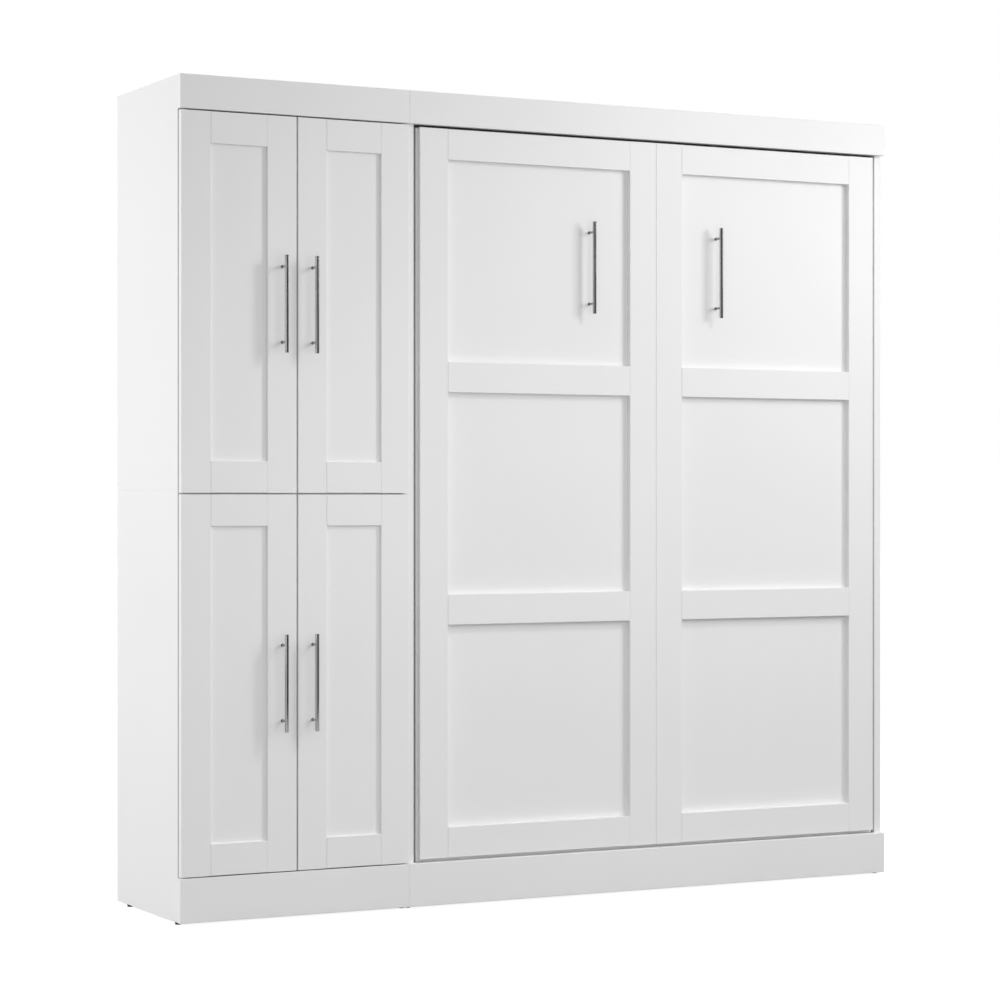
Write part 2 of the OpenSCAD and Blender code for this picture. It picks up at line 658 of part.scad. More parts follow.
// One half of the U: a cranked plate with the pin's bore, a tube arm, a bend and half the crossbar
module half_leg() {
    difference() {
        translate([-leg_half + 5, 0, 0]) rotate([90, 0, 90]) linear_extrude(plate_t) {
            circle(12);
            translate([-9, -leg_crank]) square([18, leg_crank]);
            translate([-9, -leg_crank - 8]) square([60, 16]);
        }
        translate([-leg_half - 5, 0, 0]) rotate([0, 90, 0]) cylinder(h = 20, r = stud_r + run);
    }
    translate([-leg_half, 0, -leg_crank]) {
        rotate([-90, 0, 0]) cylinder(h = leg_arm - leg_bend, r = leg_r);
        translate([leg_bend, leg_arm - leg_bend, 0]) rotate([0, 0, 90])
            rotate_extrude(angle = 90) translate([leg_bend, 0]) circle(leg_r);
        translate([leg_bend, leg_arm, 0]) rotate([0, 90, 0]) cylinder(h = leg_half - leg_bend, r = leg_r);
    }
}

module folding_leg() color(steel) placed() on_leg() {
    half_leg();
    mirror([1, 0, 0]) half_leg();
}

// Rubber sleeves where the crossbar meets the floor
module leg_feet() color([0.1, 0.1, 0.1]) placed() on_leg() for (s = [-1, 1])
    translate([s * (leg_half - leg_bend - 50) - 25, leg_arm, -leg_crank]) rotate([0, 90, 0]) difference() {
        cylinder(h = 50, r = leg_foot_r);
        translate([0, 0, -1]) cylinder(h = 52, r = leg_r);
    }

tower_lower_sides();
tower_upper_sides();
tower_tops_and_bases();
tower_shelves();
shelf_pins();
tower_backs();
tower_plinth();
tower_crown();
bed_side_left();
bed_side_right();
bed_top_panel();
bed_plinth();
bed_crown();
base_stretcher();
lower_wall_rail();
headboard_panel();
upper_wall_rail();
fascia_brackets();
levelling_feet();
hinge_plates();
hinge_arms();
cabinet_pivot_plates();
pivot_bolts();
strut_studs();
bed_stops();
face_frame_left();
face_frame_right();
face_sheets();
bed_handles();
bed_side_rails();
bed_cross_rails();
bed_centre_rail();
slats();
slat_caps();
head_end_plate();
bed_pivot_arms();
pivot_bushes();
rail_pins();
gas_cylinder_left();
gas_cylinder_right();
gas_rod_left();
gas_rod_right();
folding_leg();
leg_feet();
lower_left_door_frame();
lower_left_door_panel();
lower_left_handle();
lower_left_hinge_cups();
lower_right_door_frame();
lower_right_door_panel();
lower_right_handle();
lower_right_hinge_cups();
upper_left_door_frame();
upper_left_door_panel();
upper_left_handle();
upper_left_hinge_cups();
upper_right_door_frame();
upper_right_door_panel();
upper_right_handle();
upper_right_hinge_cups();
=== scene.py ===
"""Finishes, fittings and studio for a wall bed with a storage tower.

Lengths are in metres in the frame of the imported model: +X right, +Y towards the wall, +Z up.
"""

import json
import math

import bmesh
import bpy
from bpy.props import FloatProperty, FloatVectorProperty, PointerProperty
from mathutils import Matrix, Vector


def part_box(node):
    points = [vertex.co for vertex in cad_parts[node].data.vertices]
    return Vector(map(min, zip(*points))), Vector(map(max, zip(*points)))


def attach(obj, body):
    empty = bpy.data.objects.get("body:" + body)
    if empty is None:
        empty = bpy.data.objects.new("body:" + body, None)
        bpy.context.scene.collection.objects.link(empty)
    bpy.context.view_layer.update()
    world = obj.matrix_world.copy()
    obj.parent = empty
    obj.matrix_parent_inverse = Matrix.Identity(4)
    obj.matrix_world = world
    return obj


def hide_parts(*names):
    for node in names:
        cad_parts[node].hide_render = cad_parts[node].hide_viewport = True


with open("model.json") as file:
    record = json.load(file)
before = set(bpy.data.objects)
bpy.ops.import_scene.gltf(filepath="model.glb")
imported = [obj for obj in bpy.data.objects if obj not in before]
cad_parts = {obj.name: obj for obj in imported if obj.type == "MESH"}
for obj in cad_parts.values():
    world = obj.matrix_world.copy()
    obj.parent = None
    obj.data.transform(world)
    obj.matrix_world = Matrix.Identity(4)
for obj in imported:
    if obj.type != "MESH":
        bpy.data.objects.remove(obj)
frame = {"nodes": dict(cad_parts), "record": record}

bl_info = {
    "name": "Wall bed dressing",
    "version": (1, 0, 0),
    "blender": (4, 5, 0),
    "location": "View3D > Sidebar > Wall bed",
    "description": "Gives a wall bed and its storage tower their finishes, fittings and studio",
    "category": "Object",
}

MM = 0.001
DOORS = ("lower_left", "lower_right", "upper_left", "upper_right")


# ---- where things are ------------------------------------------------------

def middle(low, high):
    """The value half way between two others."""
    return (low + high) / 2


TOWER_T = 16 * MM           # tower's boards
PLATE_T = 2 * MM            # stamped plates and angles
PIVOT_PLATE_T = 4 * MM      # plates that carry the bed's pivots
HINGE_IN = 98 * MM          # outer hinges, in from a door's ends
ARM_HIGH = 13 * MM          # top of a hinge arm above the tower's side
TUBE = 40 * MM              # bed frame's tube, across its wide side
TUBE_NARROW = 25 * MM       # and across its narrow side
SLAT_W = 53 * MM
SLAT_T = 8 * MM
SLATS = 15                  # on each side of the centre rail
SLAT_INNER = 6 * MM         # inner ends of the slats, from the centre line
SLEEVE = 50 * MM            # length of a leg sleeve


# ---- colours and nodes -----------------------------------------------------

def linear(sheet):
    """An sRGB hex value such as #F2F2F0 as linear red, green and blue."""
    parts = [int(sheet[k:k + 2], 16) / 255 for k in (1, 3, 5)]
    return tuple(p / 12.92 if p <= 0.04045 else ((p + 0.055) / 1.055) ** 2.4 for p in parts)


def colour(label, text, sheet):
    """A colour setting that is written as an sRGB hex value."""
    return FloatVectorProperty(name=label, description=text, subtype="COLOR",
                               default=linear(sheet), min=0, max=1)


def length(label, text, value, low=0.0005, high=3.0):
    """A length setting in metres."""
    return FloatProperty(name=label, description=text, default=value, min=low, max=high,
                         precision=4, unit="LENGTH")


def power(label, text, watts):
    """A lamp's power setting in watts."""
    return FloatProperty(name=label, description=f"Power of {text}", default=watts, min=0, max=500,
                         unit="POWER")


def rgba(value):
    """A colour with full opacity."""
    return (*value, 1.0)


def add_node(tree, kind, inputs=None, **settings):
    """Adds a node. An input is given a plain value, or another node's output to link."""
    made = tree.nodes.new(kind)
    for key, value in settings.items():
        setattr(made, key, value)
    for key, value in (inputs or {}).items():
        if isinstance(value, bpy.types.NodeSocket):
            tree.links.new(value, made.inputs[key])
        else:
            made.inputs[key].default_value = value
    return made


class Finish:
    """A material with its Principled shader and Object coordinates at hand."""

    def __init__(self, name, base, roughness, metallic=0.0, **more):
        material = bpy.data.materials.new(name)
        material.use_nodes = True
        self.tree = material.node_tree
        self.shader = self.tree.nodes["Principled BSDF"]
        self.set("Base Color", rgba(base))
        self.set("Roughness", roughness)
        self.set("Metallic", metallic)
        for key, value in more.items():
            self.set(key.replace("_", " "), value)
        self.place = self.add("ShaderNodeTexCoord").outputs["Object"]

    def add(self, kind, inputs=None, **settings):
        """Adds a node to this material."""
        return add_node(self.tree, kind, inputs, **settings)

    def set(self, socket, value):
        """Sets or links one of the shader's sockets."""
        if isinstance(value, bpy.types.NodeSocket):
            self.tree.links.new(value, self.shader.inputs[socket])
        else:
            self.shader.inputs[socket].default_value = value

    def grain(self, size, detail=2.0, stretch=(1, 1, 1)):
        """Noise whose features are about size metres, stretched along an axis by numbers below 1."""
        mapped = self.add("ShaderNodeMapping", {"Vector": self.place, "Scale": stretch})
        noise = self.add("ShaderNodeTexNoise", {
            "Vector": mapped.outputs["Vector"], "Scale": 1 / size, "Detail": detail})
        return noise.outputs["Fac"]

    def remap(self, value, low, high, start=0.3, end=0.7):
        """A value from start to end, stretched over low to high."""
        made = self.add("ShaderNodeMapRange", {
            "Value": value, "From Min": start, "From Max": end, "To Min": low, "To Max": high})
        return made.outputs["Result"]

    def between(self, value, first, second, start=0.3, end=0.7):
        """A colour that goes from the first to the second as a value goes from start to end."""
        share = self.remap(value, 0, 1, start, end)
        made = self.add("ShaderNodeMix", {0: share, 6: rgba(first), 7: rgba(second)}, data_type="RGBA")
        return made.outputs[2]

    def relief(self, value, depth):
        """A bump of the given depth in metres."""
        return self.add("ShaderNodeBump", {"Height": value, "Distance": depth}).outputs["Normal"]


def shaded(value, factor):
    """A colour made darker or lighter."""
    return tuple(min(1.0, channel * factor) for channel in value)


# ---- settings --------------------------------------------------------------

class WallBedFinishes(bpy.types.PropertyGroup):
    """Colours of the finishes."""

    lacquer: colour("Lacquer", "Satin white of the doors, bed face, crown and plinth", "#F1F1F1")
    melamine: colour("Melamine", "White of the cabinet boards", "#F0F0F0")
    fibre: colour("Hardboard fibre", "Raw outer side of the tower's backs", "#8A6B4C")
    zinc: colour("Zinc plating", "Hinges, brackets and pivot plates", "#B9BBBC")
    plastic: colour("Black plastic", "Slat holders and levelling feet", "#1B1B1C")
    rubber: colour("Black rubber", "Stops and leg sleeves", "#121212")
    powder: colour("Powder coat", "Steel bed frame and folding leg", "#B4B7B8")
    birch: colour("Birch", "Bent slats", "#D9BC8E")
    birch_dark: colour("Birch, late wood", "Darker lines in the slats' grain", "#B88F5C")
    nylon: colour("Nylon", "Pivot bushes and cam covers", "#E8E5DB")
    paint: colour("Black paint", "Gas springs' cylinders", "#151516")
    chrome: colour("Chrome", "Gas springs' rods and the studs", "#D4D5D7")
    nickel: colour("Nickel", "Bar handles", "#989897")


class WallBedFittings(bpy.types.PropertyGroup):
    """Sizes of the fittings."""

    post_pitch: length("Post pitch", "Distance between the two posts of a handle", 0.192)
    post_width: length("Post diameter", "Diameter of a handle's post", 0.006)
    foot_width: length("Post foot", "Diameter of the collar where a post meets the door", 0.008)
    screw_head: length("Screw head", "Diameter of a pan head screw", 0.007)


class WallBedStudio(bpy.types.PropertyGroup):
    """Lamps and lens."""

    lens: FloatProperty(name="Lens", description="Focal length of the camera in millimetres",
                        default=101.04, min=20, max=300, unit="CAMERA")
    turn: FloatProperty(name="Turn", description="How far the camera looks to the right of +Y",
                        default=math.radians(27.486), subtype="ANGLE")
    key: power("Key", "the small lamp above the bed", 1.88)
    right: power("Right", "the soft box on the right", 28)
    far: power("Far right", "the large soft box far on the right", 15)
    centre: power("Centre", "the soft box in front of the middle", 4.3)
    fill: power("Fill", "the low soft box in front of the tower", 10.5)
    side: power("Side", "the large soft box on the left", 70)
    ambient: FloatProperty(name="Ambient", description="Strength of the studio's even light",
                           default=0.54, min=0, max=3)


# ---- modelling helpers -----------------------------------------------------

def deselect():
    """Leaves nothing selected."""
    bpy.ops.object.select_all(action="DESELECT")


def primitive(kind, name, **settings):
    """Adds a mesh primitive by itself and returns it."""
    deselect()
    getattr(bpy.ops.mesh, f"primitive_{kind}_add")(**settings)
    made = bpy.context.object
    made.name = name
    made.data.name = name
    return made


def activate(obj):
    """Selects one object alone."""
    deselect()
    obj.select_set(True)
    bpy.context.view_layer.objects.active = obj


def choose(obj, kind, test):
    """In edit mode, selects just the faces or edges for which test is true."""
    bpy.ops.mesh.select_mode(type={"faces": "FACE", "edges": "EDGE"}[kind])
    bpy.ops.mesh.select_all(action="DESELECT")
    mesh = bmesh.from_edit_mesh(obj.data)
    for part in getattr(mesh, kind):
        if test(part):
            part.select_set(True)
    mesh.select_flush_mode()
    bmesh.update_edit_mesh(obj.data)


def edit(obj):
    """Opens one object for editing."""
    activate(obj)
    bpy.ops.object.mode_set(mode="EDIT")
    bpy.ops.mesh.select_mode(type="VERT")


def close(obj):
    """Leaves edit mode and puts the object's place into its mesh."""
    bpy.ops.object.mode_set(mode="OBJECT")
    settle(obj)


def settle(obj):
    """Puts an object's place, turn and scale into its mesh."""
    activate(obj)
    bpy.ops.object.transform_apply(location=True, rotation=True, scale=True)


def fuse(obj, other, operation="UNION"):
    """Unites two solids, or takes the second out of the first, and removes the second."""
    activate(obj)
    modifier = obj.modifiers.new("boolean", "BOOLEAN")
    modifier.operation = operation
    modifier.solver = "EXACT"
    modifier.object = other
    bpy.ops.object.modifier_apply(modifier=modifier.name)
    bpy.data.objects.remove(other)


def turned(name, outline, steps=20, closed=False):
    """A solid turned about Z from (radius, height) points. A closed outline makes a ring."""
    made = primitive("plane", name, size=0.001)
    edit(made)
    bpy.ops.mesh.select_all(action="SELECT")
    bpy.ops.mesh.merge(type="CENTER")
    last = Vector((0, 0, 0))
    for number, (radius, height) in enumerate(list(outline) + list(outline[:1] if closed else ())):
        point = Vector((radius, 0, height))
        if number:
            bpy.ops.mesh.extrude_region_move(TRANSFORM_OT_translate={"value": point - last})
        else:
            bpy.ops.transform.translate(value=point)
        last = point
    bpy.ops.mesh.select_all(action="SELECT")
    bpy.ops.mesh.spin(steps=steps, angle=2 * math.pi, center=(0, 0, 0), axis=(0, 0, 1))
    bpy.ops.mesh.select_all(action="SELECT")
    bpy.ops.mesh.remove_doubles(threshold=1e-6)
    bpy.ops.mesh.normals_make_consistent(inside=False)
    close(made)
    return made


def cross_recess(head, blade_size, deep, z):
    """Cuts a cross into a screw's head by two blades of a length and width, middled on a height."""
    for turn in (0, 90):
        blade = primitive("cube", "recess", size=1, location=(0, 0, z),
                          rotation=(0, 0, math.radians(turn)), scale=(*blade_size, deep))
        settle(blade)
        fuse(head, blade, "DIFFERENCE")


def smooth(obj):
    """Smooth shading that keeps edges sharper than 35 degrees."""
    activate(obj)
    bpy.ops.object.shade_smooth_by_angle(angle=math.radians(35))


def dress(obj, slot, body, *nodes):
    """Gives a finished piece its slot's finish, the body it moves with and the nodes it stands for."""
    smooth(obj)
    obj.data.materials.clear()
    obj.data.materials.append(bpy.data.materials[FINISH_OF_SLOT[slot]])
    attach(obj, body)
    if nodes:
        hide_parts(*nodes)


def spread(pattern, places, name):
    """Copies a small pattern to each place, a 4x4 matrix, and joins the copies into one piece."""
    copies = []
    for place in places:
        made = pattern.copy()
        made.data = pattern.data.copy()
        made.data.transform(place)
        bpy.context.collection.objects.link(made)
        copies.append(made)
    bpy.data.objects.remove(pattern)
    activate(copies[0])
    for made in copies:
        made.select_set(True)
    bpy.ops.object.join()
    copies[0].name = copies[0].data.name = name
    return copies[0]


def facing(point, direction, spin=0.0):
    """The place of a pattern drawn along +Z that should stand at a point and face a direction.

    The spin turns it about that direction, because screws don't all end up at the same turn.
    """
    turn = Vector(direction).to_track_quat("Z", "Y").to_matrix().to_4x4()
    return Matrix.Translation(Vector(point)) @ turn @ Matrix.Rotation(spin, 4, "Z")


# ---- finishes --------------------------------------------------------------

def white_lacquer(colours):
    """Satin lacquer sprayed on MDF: a faint orange peel a few millimetres wide breaks the gloss."""
    made = Finish("satin_lacquered_mdf", colours.lacquer, 0.42)
    cloud = made.grain(0.35, 1.0)
    made.set("Base Color", made.between(cloud, shaded(colours.lacquer, 0.985), colours.lacquer))
    peel = made.grain(3.5 * MM, 1.0)
    made.set("Roughness", made.remap(peel, 0.38, 0.46))
    made.set("Normal", made.relief(peel, 0.02 * MM))


def white_melamine(colours):
    """Melamine paper pressed on particle board: a fine pearl, drawn at 1.5 mm so that it shows."""
    made = Finish("pressed_melamine_board", colours.melamine, 0.4)
    cloud = made.grain(0.5, 1.0)
    made.set("Base Color", made.between(cloud, shaded(colours.melamine, 0.98), colours.melamine))
    pearl = made.grain(1.5 * MM, 2.0)
    made.set("Roughness", made.remap(pearl, 0.34, 0.48))
    made.set("Normal", made.relief(pearl, 0.03 * MM))


def hardboard(colours):
    """Hardboard lacquered white inside and left raw outside, where its pressed fibres show."""
    made = Finish("hardboard_lacquered_inside", colours.melamine, 0.6)
    fibres = made.grain(2 * MM, 4.0, (0.35, 1, 1))
    specks = made.grain(9 * MM, 3.0)
    mixed = made.add("ShaderNodeMath", {0: fibres, 1: specks}, operation="MULTIPLY")
    raw = made.between(mixed.outputs[0], shaded(colours.fibre, 0.7), colours.fibre, 0.12, 0.4)
    normal = made.add("ShaderNodeNewGeometry").outputs["Normal"]
    parts = made.add("ShaderNodeSeparateXYZ", {"Vector": made.add(
        "ShaderNodeVectorTransform", {"Vector": normal}, vector_type="NORMAL",
        convert_from="WORLD", convert_to="OBJECT").outputs["Vector"]})
    outside = made.add("ShaderNodeMath", {0: parts.outputs["Y"], 1: 0.5}, operation="GREATER_THAN")
    white = rgba(colours.melamine)
    both = made.add("ShaderNodeMix", {0: outside.outputs[0], 6: white, 7: raw}, data_type="RGBA")
    made.set("Base Color", both.outputs[2])
    made.set("Normal", made.relief(fibres, 0.05 * MM))


def zinc(colours):
    """Stamped steel with bright zinc: a slightly cloudy metal with fine rolling marks."""
    made = Finish("bright_zinc_plated_steel", colours.zinc, 0.34, 1.0)
    cloud = made.grain(6 * MM, 3.0)
    made.set("Base Color", made.between(cloud, shaded(colours.zinc, 0.82), colours.zinc))
    made.set("Roughness", made.remap(cloud, 0.28, 0.45))
    made.set("Normal", made.relief(made.grain(0.8 * MM, 2.0), 0.01 * MM))


def black_plastic(colours):
    """Moulded polypropylene with a spark-eroded grain, drawn at 0.8 mm so that it shows."""
    made = Finish("moulded_black_polypropylene", colours.plastic, 0.48)
    grain = made.grain(0.8 * MM, 2.0)
    made.set("Roughness", made.remap(grain, 0.42, 0.58))
    made.set("Normal", made.relief(grain, 0.04 * MM))


def black_rubber(colours):
    """Moulded rubber: matt, with dust-fine unevenness and a slightly greyer bloom."""
    made = Finish("moulded_black_rubber", colours.rubber, 0.78)
    bloom = made.grain(7 * MM, 3.0)
    made.set("Base Color", made.between(bloom, colours.rubber, shaded(colours.rubber, 1.9)))
    made.set("Normal", made.relief(made.grain(0.6 * MM, 2.0), 0.05 * MM))


def powder_coat(colours):
    """Polyester powder baked on steel tube: an even orange peel about a millimetre wide."""
    made = Finish("grey_powder_coated_steel", colours.powder, 0.5)
    peel = made.grain(1.2 * MM, 1.5)
    made.set("Base Color", made.between(peel, shaded(colours.powder, 0.93), colours.powder))
    made.set("Roughness", made.remap(peel, 0.45, 0.6))
    made.set("Normal", made.relief(peel, 0.05 * MM))


def birch_plywood(colours):
    """Bent birch veneers under clear lacquer: grain runs along the slat."""
    made = Finish("lacquered_birch_plywood", colours.birch, 0.45)
    lines = made.grain(6 * MM, 4.0, (0.04, 1, 1))
    pores = made.grain(1.2 * MM, 3.0, (0.05, 1, 1))
    made.set("Base Color", made.between(lines, colours.birch_dark, colours.birch, 0.35, 0.65))
    made.set("Roughness", made.remap(pores, 0.38, 0.6))
    made.set("Normal", made.relief(pores, 0.05 * MM))


def nylon(colours):
    """Turned and moulded nylon: translucent, off-white and softly glossy."""
    made = Finish("natural_nylon", colours.nylon, 0.38, Subsurface_Weight=0.15, Subsurface_Scale=0.002)
    cloud = made.grain(4 * MM, 2.0)
    made.set("Base Color", made.between(cloud, shaded(colours.nylon, 0.94), colours.nylon))


def black_paint(colours):
    """Stove enamel on a drawn tube: deep and glossy with a slight lengthwise ripple."""
    made = Finish("black_enamelled_tube", colours.paint, 0.28, Coat_Weight=0.4, Coat_Roughness=0.15)
    ripple = made.grain(5 * MM, 2.0, (1, 1, 0.1))
    made.set("Roughness", made.remap(ripple, 0.24, 0.36))
    made.set("Normal", made.relief(ripple, 0.02 * MM))


def chrome(colours):
    """Ground and hard-chromed steel: a near mirror with hair-fine marks."""
    made = Finish("hard_chromed_steel", colours.chrome, 0.12, 1.0)
    marks = made.grain(0.7 * MM, 3.0, (1, 1, 0.05))
    made.set("Roughness", made.remap(marks, 0.08, 0.2))


def brushed_nickel(colours):
    """Nickel plate over brushed steel bar: hair-fine lines along the bar dull the reflection."""
    made = Finish("brushed_nickel_plate", colours.nickel, 0.15, 1.0)
    lines = made.grain(0.5 * MM, 3.0, (1, 1, 0.01))
    made.set("Base Color", made.between(lines, shaded(colours.nickel, 0.93), colours.nickel))
    made.set("Roughness", made.remap(lines, 0.12, 0.18))


MAKERS = (white_lacquer, white_melamine, hardboard, zinc, black_plastic, black_rubber, powder_coat,
          birch_plywood, nylon, black_paint, chrome, brushed_nickel)

# The record's material slot of a node, and the finish that it gets here
FINISH_OF_SLOT = {
    "white_lacquered_mdf": "satin_lacquered_mdf",
    "white_melamine_board": "pressed_melamine_board",
    "white_hardboard": "hardboard_lacquered_inside",
    "zinc_plated_steel": "bright_zinc_plated_steel",
    "black_plastic": "moulded_black_polypropylene",
    "black_rubber": "moulded_black_rubber",
    "grey_powder_coated_steel": "grey_powder_coated_steel",
    "birch_plywood": "lacquered_birch_plywood",
    "white_nylon": "natural_nylon",
    "black_painted_steel": "black_enamelled_tube",
    "chromed_steel": "hard_chromed_steel",
    "brushed_nickel": "brushed_nickel_plate",
}


class WALLBED_OT_finishes(bpy.types.Operator):
    """Makes every finish and gives each part of the model its own"""

    bl_idname = "wall_bed.finishes"
    bl_label = "Finishes"

    def execute(self, context):
        for maker in MAKERS:
            maker(context.scene.wall_bed_finishes)
        for part in frame["record"]["subparts"]:
            slot = part["material_slot"]
            node = frame["nodes"][part["node"]]
            node.data.materials.clear()
            node.data.materials.append(bpy.data.materials[FINISH_OF_SLOT[slot]])
        return {"FINISHED"}


# ---- handles ---------------------------------------------------------------

def bar_handle(name, axis_x, radius, low, high, fittings):
    """A bar on two posts. low and high give its reach in y and z, and axis_x its middle line."""
    bar_y = low.y + radius
    foot = 2 * MM       # collar of a post, against the door
    bar = primitive("cylinder", name, vertices=40, radius=radius, depth=high.z - low.z,
                    location=(axis_x, bar_y, middle(low.z, high.z)))
    edit(bar)
    choose(bar, "edges", lambda e: e.calc_length() < radius)
    bpy.ops.mesh.bevel(offset=0.8 * MM, segments=3, affect="EDGES")
    close(bar)
    for side in (-1, 1):
        z = middle(low.z, high.z) + side * fittings.post_pitch / 2
        post = primitive("cylinder", "post", vertices=28, radius=fittings.foot_width / 2, depth=foot,
                         location=(axis_x, high.y - foot / 2, z), rotation=(math.radians(90), 0, 0))
        edit(post)
        choose(post, "faces", lambda f: f.normal.z > 0.9)
        bpy.ops.mesh.inset(thickness=(fittings.foot_width - fittings.post_width) / 2)
        reach = high.y - foot - bar_y
        bpy.ops.mesh.extrude_region_move(TRANSFORM_OT_translate={"value": (0, -reach, 0)})
        close(post)
        fuse(bar, post)
    return bar


class WALLBED_OT_handles(bpy.types.Operator):
    """Makes the six bar handles"""

    bl_idname = "wall_bed.handles"
    bl_label = "Bar handles"

    def execute(self, context):
        fittings = context.scene.wall_bed_fittings
        for door in DOORS:
            low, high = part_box(f"{door}_handle")
            radius = (high.x - low.x) / 2
            made = bar_handle(f"{door}_bar_handle", middle(low.x, high.x), radius, low, high, fittings)
            dress(made, "brushed_nickel", f"{door}_door", f"{door}_handle")
        low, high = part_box("bed_handles")       # its bars are as thick as the doors'
        for side, x in (("left", low.x + radius), ("right", high.x - radius)):
            made = bar_handle(f"bed_{side}_bar_handle", x, radius, low, high, fittings)
            dress(made, "brushed_nickel", "bed", "bed_handles")
        return {"FINISHED"}


# ---- fixings ---------------------------------------------------------------

def pan_head(name, width):
    """A pan head with a cross recess, standing on z = 0."""
    r = width / 2
    head = turned(name, [(0, 0), (r, 0), (r, 0.3 * r), (0.86 * r, 0.56 * r),
                         (0.5 * r, 0.7 * r), (0, 0.74 * r)])
    cross_recess(head, (1.05 * r, 0.24 * r), 0.7 * r, 0.8 * r)
    return head


def flat_head(name, width):
    """The face of a countersunk screw with a cross recess, 0.3 mm proud of its plate."""
    r = width / 2
    head = turned(name, [(0, 0), (r, 0), (0.92 * r, 0.2 * MM), (0.3 * r, 0.3 * MM), (0, 0.3 * MM)])
    cross_recess(head, (0.9 * r, 0.2 * r), 0.3 * MM, 0.25 * MM)
    return head


def dome(name, width, height):
    """A plain rounded head, standing on z = 0."""
    r = width / 2
    outline = [(0, 0), (r, 0), (0.9 * r, 0.45 * height), (0.6 * r, 0.85 * height), (0, height)]
    return turned(name, outline, 14)


def fixings(head, places, name, body):
    """Puts copies of a screw's, nail's or rivet's head in their places, as one zinc plated piece."""
    dress(spread(head, places, name), "zinc_plated_steel", body)


def hinge_heights(door):
    """Heights of a door's three hinges."""
    low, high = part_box(f"{door}_door_frame")
    return low.z + HINGE_IN, middle(low.z, high.z), high.z - HINGE_IN


class WALLBED_OT_hinge_screws(bpy.types.Operator):
    """Makes the screws of the cup hinges' plates, arms and cups"""

    bl_idname = "wall_bed.hinge_screws"
    bl_label = "Hinge screws"

    def execute(self, context):
        width = context.scene.wall_bed_fittings.screw_head
        low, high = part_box("hinge_plates")
        plate_y, plate_z = 22 * MM, 17 * MM     # a plate's screws, from its front and its middle
        arm_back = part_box("hinge_arms")[1].y
        plates, arms = [], []
        for z in hinge_heights("lower_left") + hinge_heights("upper_left"):
            for board, way in ((low.x, 1), (high.x, -1)):
                for side in (-1, 1):
                    spot = (board + way * PLATE_T, low.y + plate_y, z + side * plate_z)
                    plates.append(facing(spot, (way, 0, 0), 0.4 * side))
                for back in (22 * MM, 42 * MM):
                    spot = (board + way * ARM_HIGH, arm_back - back, z)
                    arms.append(facing(spot, (way, 0, 0), 10 * back))
        fixings(pan_head("plate_screw", width), plates, "hinge_plate_screws", "cabinet")
        fixings(pan_head("arm_screw", 0.8 * width), arms, "hinge_arm_screws", "cabinet")
        half_pitch = 22.5 * MM      # a cup's two screws stand 45 mm apart
        for door in DOORS:
            low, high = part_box(f"{door}_hinge_cups")
            x = middle(low.x, high.x)
            cups = [facing((x, high.y, z + side * half_pitch), (0, 1, 0), 0.3 + 0.5 * side)
                    for z in hinge_heights(door) for side in (-1, 1)]
            fixings(pan_head("cup_screw", width), cups, f"{door}_cup_screws", f"{door}_door")
        return {"FINISHED"}


class WALLBED_OT_cabinet_screws(bpy.types.Operator):
    """Makes the screws of the steel angles and of the bed's pivot plates"""

    bl_idname = "wall_bed.cabinet_screws"
    bl_label = "Cabinet screws"

    def execute(self, context):
        width = context.scene.wall_bed_fittings.screw_head
        low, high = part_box("fascia_brackets")
        tower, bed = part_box("tower_crown"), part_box("bed_crown")
        half_joint = 0.3 * MM           # of the joint between the two crown boards
        tower_in, bed_in = 90 * MM, 120 * MM        # angles, in from the ends of a board
        hole = 15 * MM                  # screws, from an angle's outer corner
        tops = [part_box(node)[1].z - TOWER_T for node in ("tower_tops_and_bases", "tower_plinth")]
        spots = [(x, top) for x in (tower[0].x + tower_in, tower[1].x + half_joint - tower_in)
                 for top in tops]
        first, last = bed[0].x - half_joint + bed_in, bed[1].x - bed_in
        spots += [(first + k * (last - first) / 3, high.z) for k in range(4)]
        places = []
        for x, top in spots:
            places.append(facing((x, low.y + PLATE_T, top - hole), (0, 1, 0), 0.2))
            places.append(facing((x, low.y + hole, top - PLATE_T), (0, 0, -1), 0.7))
        fixings(pan_head("angle_screw", width), places, "angle_screws", "cabinet")
        low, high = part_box("cabinet_pivot_plates")
        holes = ((12, 14), (98, 14), (98, 76), (12, 180), (98, 180))    # mm from the plate's corner
        places = [facing((x, low.y + y * MM, low.z + z * MM), (way, 0, 0), 0.02 * z)
                  for x, way in ((low.x + PIVOT_PLATE_T, 1), (high.x - PIVOT_PLATE_T, -1))
                  for y, z in holes]
        fixings(flat_head("plate_screw", 9 * MM), places, "pivot_plate_screws", "cabinet")
        return {"FINISHED"}


class WALLBED_OT_back_nails(bpy.types.Operator):
    """Makes the nails of the tower's backs"""

    bl_idname = "wall_bed.back_nails"
    bl_label = "Back nails"

    def execute(self, context):
        low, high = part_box("tower_backs")
        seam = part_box("tower_upper_sides")[0].z
        side_in, end_in = 8 * MM, 10 * MM       # nails, in from a back's sides and ends
        places = []
        for first, last in ((low.z + end_in, seam - end_in), (seam + end_in, high.z - end_in)):
            for k in range(8):
                z = first + k * (last - first) / 7
                places += [facing((x, high.y, z), (0, 1, 0))
                           for x in (low.x + side_in, high.x - side_in)]
            for k in range(1, 5):
                x = low.x + k * (high.x - low.x) / 5
                places += [facing((x, high.y, z), (0, 1, 0)) for z in (first, last)]
        fixings(dome("back_nail", 4.5 * MM, 0.3 * MM), places, "back_nails", "cabinet")
        return {"FINISHED"}


